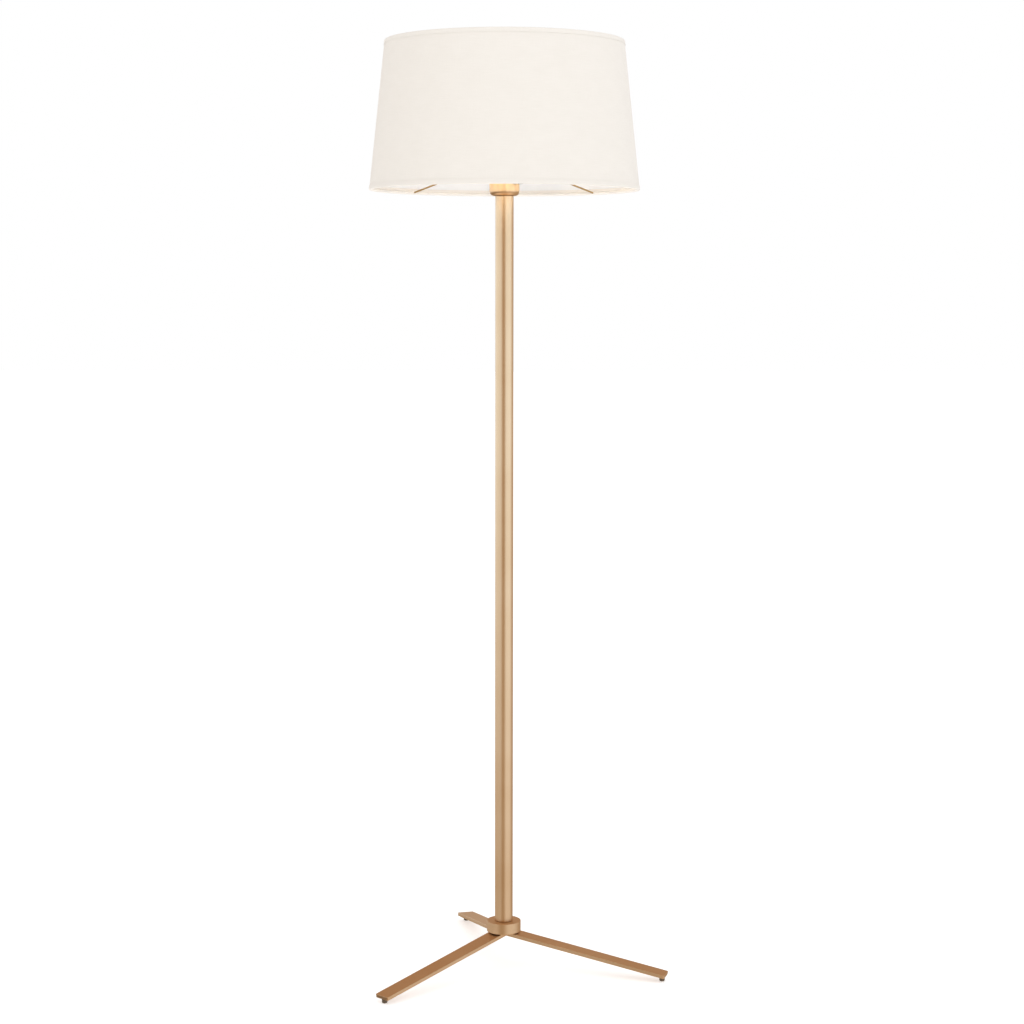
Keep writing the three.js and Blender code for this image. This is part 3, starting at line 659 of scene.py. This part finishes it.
# ---- Bulb. A frosted glass globe in a threaded aluminium cap with a black glass insulator and a
# contact tip; it is lit, and warms the inside of the shade.
CAP_THREAD = 0.0007
CAP_CHAMFER = 0.0015
CAP_PLAIN_END = 0.002
CAP_SKIRT = 0.004
GLOBE_RADIUS = 0.030
GLOBE_RISE = 0.050
NECK_RADIUS = 0.0126
GLOBE_STEPS = 24
BULB_WATTS = 0.55
ALUMINIUM = (0.62, 0.63, 0.65, 1)
BLACK_GLASS = (0.012, 0.012, 0.014, 1)
FROST = (0.68, 0.65, 0.60, 1)
FROST_PALE = (0.76, 0.73, 0.68, 1)
WARM = (1.0, 0.87, 0.70, 1)
WARM_EDGE = (0.24, 0.10, 0.02, 1)

cap_low, cap_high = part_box("bulb_cap")
cap_radius = cap_high.x
cap_steps = 44
cap_outline = [(0, cap_low.z), (cap_radius - CAP_CHAMFER, cap_low.z)]
rise = (cap_high.z - cap_low.z - CAP_CHAMFER) / cap_steps
cap_outline += [(cap_radius, cap_low.z + CAP_CHAMFER + rise * i) for i in range(cap_steps + 1)]
cap_outline += [(0, cap_high.z)]
thread = threaded(cap_low.z + CAP_PLAIN_END, cap_high.z - CAP_SKIRT, SHELL_PITCH, CAP_THREAD,
                  lambda radius: radius > cap_radius - 1e-6)
cap_metal = plain_metal("cap_metal", ALUMINIUM, 0.35)
place("bulb_cap_threaded", turned("cap", cap_outline, 96, thread), "bulb", cap_metal, "cap_metal", "bulb_cap")
glaze = moulded("black_glass", BLACK_GLASS, 0.2, 0.0009, 0.4)
coat("bulb_tip", glaze)

globe_low, globe_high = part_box("bulb_globe")
globe_outline = [(0, globe_low.z)]
for i in range(GLOBE_STEPS + 1):
    t = i / GLOBE_STEPS
    globe_outline.append((NECK_RADIUS + (GLOBE_RADIUS - NECK_RADIUS) * t * t * (3 - 2 * t),
                          globe_low.z + GLOBE_RISE * t))
for i in range(1, GLOBE_STEPS + 1):
    a = pi / 2 * i / GLOBE_STEPS
    globe_outline.append((GLOBE_RADIUS * cos(a) if i < GLOBE_STEPS else 0,
                          globe_low.z + GLOBE_RISE + (globe_high.z - globe_low.z - GLOBE_RISE) * sin(a)))
frosted = bpy.data.materials.new("frosted_glass")
frosted.use_nodes = True
shader = Shader(frosted.node_tree)
edge = shader.node("ShaderNodeLayerWeight", None, {"Blend": 0.35}, "Facing")
frost = shader.node("ShaderNodeTexNoise", None, {"Scale": 900.0, "Detail": 3.0})
bump = shader.node("ShaderNodeBump", None, {"Height": frost, "Strength": 0.2, "Distance": 0.0002})
glass = shader.node("ShaderNodeBsdfPrincipled", None, {
    "Base Color": shader.mix(frost, FROST, FROST_PALE), "Roughness": frost * 0.2 + 0.4,
    "Emission Color": shader.mix(edge.step(0.1, 0.8), WARM, WARM_EDGE), "Emission Strength": 1.0,
    "Normal": bump})
shader.node("ShaderNodeOutputMaterial", None, {"Surface": glass})
blown = place("bulb_globe_blown", turned("globe", globe_outline, 96), "bulb", frosted, "frosted_glass",
              "bulb_globe")
blown.visible_shadow = False

# The light that the bulb gives, from a ball inside the globe
filament = bpy.data.lights.new("filament", "POINT")
filament.energy = BULB_WATTS
filament.color = WARM[:3]
filament.shadow_soft_size = GLOBE_RADIUS * 0.8
glowing = bpy.data.objects.new("filament", filament)
glowing.location = (0, 0, globe_low.z + GLOBE_RISE)
bpy.context.scene.collection.objects.link(glowing)
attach(glowing, "bulb")

# The warm sheen that the lit shade throws on the metal just below it
SHEEN_COUNT = 8
SHEEN_OUT = 0.19
SHEEN_LEVEL = 1.415
SHEEN_SIZE = 0.1
SHEEN_WATTS = 0.105
SHEEN_COLOUR = (1.0, 0.66, 0.34)
SHEEN_AIM = Vector((0, 0, 1.3))
for i in range(SHEEN_COUNT):
    turn = 2 * pi * (i + 0.5) / SHEEN_COUNT
    sheen = bpy.data.lights.new("sheen", "AREA")
    sheen.size = SHEEN_SIZE
    sheen.energy = SHEEN_WATTS
    sheen.color = SHEEN_COLOUR
    shine = bpy.data.objects.new(f"sheen_{i}", sheen)
    shine.location = (SHEEN_OUT * cos(turn), SHEEN_OUT * sin(turn), SHEEN_LEVEL)
    shine.rotation_euler = (SHEEN_AIM - shine.location).to_track_quat("-Z", "Y").to_euler()
    shine.visible_camera = False
    shine.visible_diffuse = False
    shine.visible_transmission = False
    bpy.context.scene.collection.objects.link(shine)


# ---- Shade fitter. A pierced brass-plated ring with four wire arms soldered to it, sloping down to
# the shade's lower wire ring; a black threaded ring clamps it to the lampholder.
ARM_RADIUS = 0.0015
ARM_START = 0.001  # of the arm's axis beyond the fitter ring
ARM_SHORT = 0.0006  # of the arm's axis inside the wire ring's, and above it
ARM_ABOVE = 0.0004
WIRE_RADIUS = 0.0016
ARM_COUNT = 4
FITTER_PLAY = 0.0004
FITTER_EDGE = 0.0004
fitter_low, fitter_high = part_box("fitter_ring")
fitter_bore = SLEEVE_RADIUS + FITTER_PLAY
fitter_outline = eased([(fitter_bore, fitter_low.z), (fitter_high.x, fitter_low.z),
                        (fitter_high.x, fitter_high.z), (fitter_bore, fitter_high.z)],
                       {i: FITTER_EDGE for i in range(4)}, 3)
place("fitter_ring_pierced", turned("fitter", fitter_outline, 128), "shade", brass, "brass_plate",
      "fitter_ring")


def tube_along(name, points, radius, sides=16):
    """A round wire that follows points, with closed ends."""
    verts, faces = [], []
    for k, point in enumerate(points):
        ahead = points[min(k + 1, len(points) - 1)] - points[max(k - 1, 0)]
        turn = ahead.to_track_quat("Z", "Y").to_matrix()
        for i in range(sides):
            a = 2 * pi * i / sides
            verts.append(point + turn @ Vector((radius * cos(a), radius * sin(a), 0)))
    for k in range(len(points) - 1):
        for i in range(sides):
            j = (i + 1) % sides
            faces.append((k * sides + i, k * sides + j, (k + 1) * sides + j, (k + 1) * sides + i))
    faces.append(tuple(reversed(range(sides))))
    faces.append(tuple((len(points) - 1) * sides + i for i in range(sides)))
    mesh = bpy.data.meshes.new(name)
    mesh.from_pydata(verts, [], faces)
    return mesh


wire_level = middle("shade_wire_bottom").z
wire_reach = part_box("shade_wire_bottom")[1].x - WIRE_RADIUS
for n in range(1, ARM_COUNT + 1):
    heading = direction_of(f"fitter_arm_{n}")
    inner_end = heading * (fitter_high.x + ARM_START)
    inner_end.z = (fitter_low.z + fitter_high.z) / 2
    outer_end = heading * (wire_reach - ARM_SHORT)
    outer_end.z = wire_level + ARM_ABOVE
    points = [inner_end.lerp(outer_end, i / 6) for i in range(7)]
    place(f"fitter_arm_{n}_wire", tube_along("arm", points, ARM_RADIUS), "shade", brass, "brass_plate",
          f"fitter_arm_{n}")

clamp_low, clamp_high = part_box("shade_clamp_ring")
CLAMP_GRIP = 0.0232
CLAMP_FLANGE = 0.002
CLAMP_EDGE = 0.0004
CLAMP_SHOULDER = 0.0006
KNURLS = 36
KNURL_DEPTH = 0.0004
clamp_outline = eased([(fitter_bore, clamp_low.z), (clamp_high.x, clamp_low.z),
                       (clamp_high.x, clamp_low.z + CLAMP_FLANGE), (CLAMP_GRIP, clamp_low.z + CLAMP_FLANGE),
                       (CLAMP_GRIP, clamp_high.z), (fitter_bore, clamp_high.z)],
                      {1: CLAMP_EDGE, 2: CLAMP_EDGE, 4: CLAMP_SHOULDER, 5: CLAMP_EDGE}, 3)


def knurled(turn, radius, height):
    grips = clamp_low.z + CLAMP_FLANGE < height and radius > CLAMP_GRIP - KNURL_DEPTH
    return radius - (KNURL_DEPTH * (0.5 - 0.5 * cos(KNURLS * turn)) if grips else 0)


place("shade_clamp_ring_knurled", turned("clamp", clamp_outline, 288, knurled), "clamp_ring", black,
      "black_moulding", "shade_clamp_ring")


# ---- Shade. Fine plain-weave cloth laminated to a stiff white liner, rolled into a tapered drum and
# lapped at the back; a wire ring sits in each end, and the cloth is folded over it in a narrow hem.
HEM_DEPTH = 0.007
HEM_CLOTH = 0.0003
HEM_TURN = 0.0045  # the cloth's end, glued down on the liner beyond the wire
LANDING = 0.0012  # from the wire to where the cloth meets the liner
EDGE_RISE = 0.0005  # the fold's outer corner
EDGE_IN = 0.0004
WRAP_START = 20  # degrees round the wire
WRAP_STEP = 14
WRAP_STEPS = 11
WIRE_SIDES = 12
GLUE = 0.0001
FABRIC_THICKNESS = 0.0005
LINER_THICKNESS = 0.0008
SHADE_STEPS = 256
LAP_BEARING = radians(97)
LAP_WIDTH = 0.012
LAP_RISE = 0.0003
LAP_CUT = 0.0004  # half the turn in which the cloth steps up at its cut end, and down at its other
LAP_FADE = 0.002
THREAD_WIDTH = 0.00055
MEAN_REACH = 0.215  # of the cloth from the pole's axis, to lay its threads out along it
CREAM = (0.91, 0.875, 0.825, 1)
# a darker cream: the yarn's own uneven tone, and painted shade where the weave lies low
CREAM_SLUB_AND_SHADE = (0.86, 0.825, 0.77, 1)
LINER_WHITE = (0.93, 0.94, 0.95, 1)

shade_low, shade_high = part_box("shade_hem_bottom")
top_low, top_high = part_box("shade_hem_top")
shade_bottom = shade_low.z
shade_top = top_high.z
# the cone's slope comes from the two hems: each one's widest place is at its lower edge
slope = (shade_high.x - top_high.x) / (top_low.z - shade_bottom)


def shade_radius(z):
    return shade_high.x - slope * (z - shade_bottom)


def woven(name, colour, dark, see_through):
    """Plain-weave cloth: warp and weft threads, slubs, and some of the light from behind. Its colour is
    darker where the weave lies low, which is painted shade between the threads, and in the slubs' own uneven
    tone.
    """
    material = bpy.data.materials.new(name)
    material.use_nodes = True
    shader = Shader(material.node_tree)
    x, y, z = shader.axes("ShaderNodeTexCoord", "Object")
    around = y.maths("ARCTAN2", y, x) * MEAN_REACH
    weft = (z * (2 * pi / THREAD_WIDTH)).sine()
    warp = (around * (2 * pi / THREAD_WIDTH)).sine()
    slub_at = shader.node("ShaderNodeCombineXYZ", None, {0: around * 40, 1: z * 900, 2: 0.0})
    slub = shader.node("ShaderNodeTexNoise", None, {"Vector": slub_at, "Scale": 1.0, "Detail": 3.0})
    streak_at = shader.node("ShaderNodeCombineXYZ", None, {0: around * 900, 1: z * 40, 2: 3.0})
    streak = shader.node("ShaderNodeTexNoise", None, {"Vector": streak_at, "Scale": 1.0, "Detail": 3.0})
    cloud = shader.node("ShaderNodeTexNoise", None, {"Scale": 14.0, "Detail": 2.0})
    relief = weft * warp * 0.25 + 0.5 + (slub + streak - 1) * 0.6
    tone = relief * 0.5 + cloud * 0.3 + slub * 0.2
    # the darker cream goes where the relief is low: partly uneven yarn tone in slubs and clouds, partly
    # painted shade between the threads, as the same relief makes the bump
    cloth_colour = shader.mix(tone.step(0.15, 0.85), dark, colour)
    bump = shader.node("ShaderNodeBump", None, {"Height": relief, "Strength": 0.25, "Distance": 0.0002})
    cloth = shader.node("ShaderNodeBsdfPrincipled", None, {
        "Base Color": cloth_colour, "Roughness": 0.92, "Sheen Weight": 0.15, "Normal": bump})
    through = shader.node("ShaderNodeBsdfTranslucent", None, {"Color": cloth_colour, "Normal": bump})
    both = shader.node("ShaderNodeMixShader", None, {0: see_through, 1: cloth, 2: through})
    shader.node("ShaderNodeOutputMaterial", None, {"Surface": both})
    return material


def film(name, colour, see_through):
    """Smooth extruded sheet that lets some light through."""
    material = bpy.data.materials.new(name)
    material.use_nodes = True
    shader = Shader(material.node_tree)
    cloud = shader.node("ShaderNodeTexNoise", None, {"Scale": 30.0, "Detail": 2.0})
    duller = tuple(c * 0.985 for c in colour[:3]) + (1,)
    tint = shader.mix(cloud.step(0.3, 0.7), duller, colour)
    face = shader.node("ShaderNodeBsdfPrincipled", None,
                       {"Base Color": tint, "Roughness": cloud * 0.1 + 0.45})
    through = shader.node("ShaderNodeBsdfTranslucent", None, {"Color": tint})
    both = shader.node("ShaderNodeMixShader", None, {0: see_through, 1: face, 2: through})
    shader.node("ShaderNodeOutputMaterial", None, {"Surface": both})
    return material


def drum(inset, thickness, start, end):
    """The outline of a conical sheet set in from the shade's outside."""
    return [(shade_radius(start) - inset - thickness, start), (shade_radius(start) - inset, start),
            (shade_radius(end) - inset, end), (shade_radius(end) - inset - thickness, end)]


cloth = woven("cream_cloth", CREAM, CREAM_SLUB_AND_SHADE, 0.08)
white_film = film("white_liner", LINER_WHITE, 0.15)
sheet_start = shade_bottom + HEM_CLOTH
sheet_end = shade_top - HEM_CLOTH
fabric_inset = HEM_CLOTH + GLUE / 2
liner_inset = fabric_inset + FABRIC_THICKNESS + GLUE
lap_turn = LAP_WIDTH / shade_high.x
lap_edges = [LAP_BEARING - LAP_CUT, LAP_BEARING + LAP_CUT, LAP_BEARING + lap_turn - LAP_FADE,
             LAP_BEARING + lap_turn + LAP_FADE]


def lapped(turn, radius, height):
    """The cloth's end lies over its beginning in a narrow strip at the back."""
    return radius + (LAP_RISE if LAP_BEARING < turn < LAP_BEARING + lap_turn else 0)


fabric_outline = drum(fabric_inset, FABRIC_THICKNESS, sheet_start, sheet_end)
fabric = place("shade_fabric_cloth", turned("fabric", fabric_outline, SHADE_STEPS, lapped, lap_edges),
               "shade", cloth, "cream_linen", "shade_fabric")
liner_outline = drum(liner_inset, LINER_THICKNESS, sheet_start, sheet_end)
place("shade_liner_sheet", turned("liner", liner_outline, SHADE_STEPS), "shade", white_film, "white_liner",
      "shade_liner")

for end_name, edge, inward in (("bottom", shade_bottom, 1), ("top", shade_top, -1)):
    level = middle(f"shade_wire_{end_name}").z
    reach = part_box(f"shade_wire_{end_name}")[1].x - WIRE_RADIUS
    section = [(reach + WIRE_RADIUS * cos(2 * pi * i / WIRE_SIDES),
                level + WIRE_RADIUS * sin(2 * pi * i / WIRE_SIDES)) for i in range(WIRE_SIDES)]
    place(f"shade_wire_{end_name}_ring", turned("wire", section, SHADE_STEPS), "shade", brass, "brass_plate",
          f"shade_wire_{end_name}")

    # the fold: up the outside, across the edge, round the wire and up the liner's inner side
    skin_in = liner_inset + LINER_THICKNESS
    folded = WIRE_RADIUS + GLUE
    path = [(shade_radius(edge + inward * HEM_DEPTH), edge + inward * HEM_DEPTH),
            (shade_radius(edge + inward * EDGE_RISE), edge + inward * EDGE_RISE),
            (shade_radius(edge) - EDGE_IN, edge), (reach, edge)]
    wrap = [(reach - (folded + HEM_CLOTH) * sin(a), level - inward * (folded + HEM_CLOTH) * cos(a))
            for a in [radians(WRAP_START + WRAP_STEP * i) for i in range(WRAP_STEPS)]]
    path += wrap
    landing = level + inward * (WIRE_RADIUS + LANDING)
    path.append((shade_radius(landing) - skin_in - HEM_CLOTH - GLUE, landing))
    finish = landing + inward * HEM_TURN
    path.append((shade_radius(finish) - skin_in - HEM_CLOTH, finish))
    inner_skin = []
    for i, point in enumerate(path):
        ahead = Vector(path[min(i + 1, len(path) - 1)]) - Vector(path[max(i - 1, 0)])
        sideways = Vector((ahead.y, -ahead.x)).normalized() * -inward
        inner_skin.append(tuple(Vector(point) + sideways * HEM_CLOTH))
    section = path + inner_skin[::-1]
    if inward > 0:
        section.reverse()
    place(f"shade_hem_{end_name}_fold", turned("hem", section, SHADE_STEPS), "shade", cloth,
                      "cream_linen", f"shade_hem_{end_name}")

# The cloth's cut is part of a ring: its slant height, and the arcs round its two ends with the lap
slant = hypot(sheet_end - sheet_start, shade_radius(sheet_start) - shade_radius(sheet_end))
mean_radius = (shade_radius(sheet_start) + shade_radius(sheet_end)) / 2 - fabric_inset
far_edge = slant * shade_radius(sheet_start) / (shade_radius(sheet_start) - shade_radius(sheet_end))
half_turn = (pi * shade_radius(sheet_start) + LAP_WIDTH / 2) / far_edge
cut_width = 2 * far_edge * sin(half_turn)
cut_height = far_edge - (far_edge - slant) * cos(half_turn)
2 * pi * mean_radius * slant
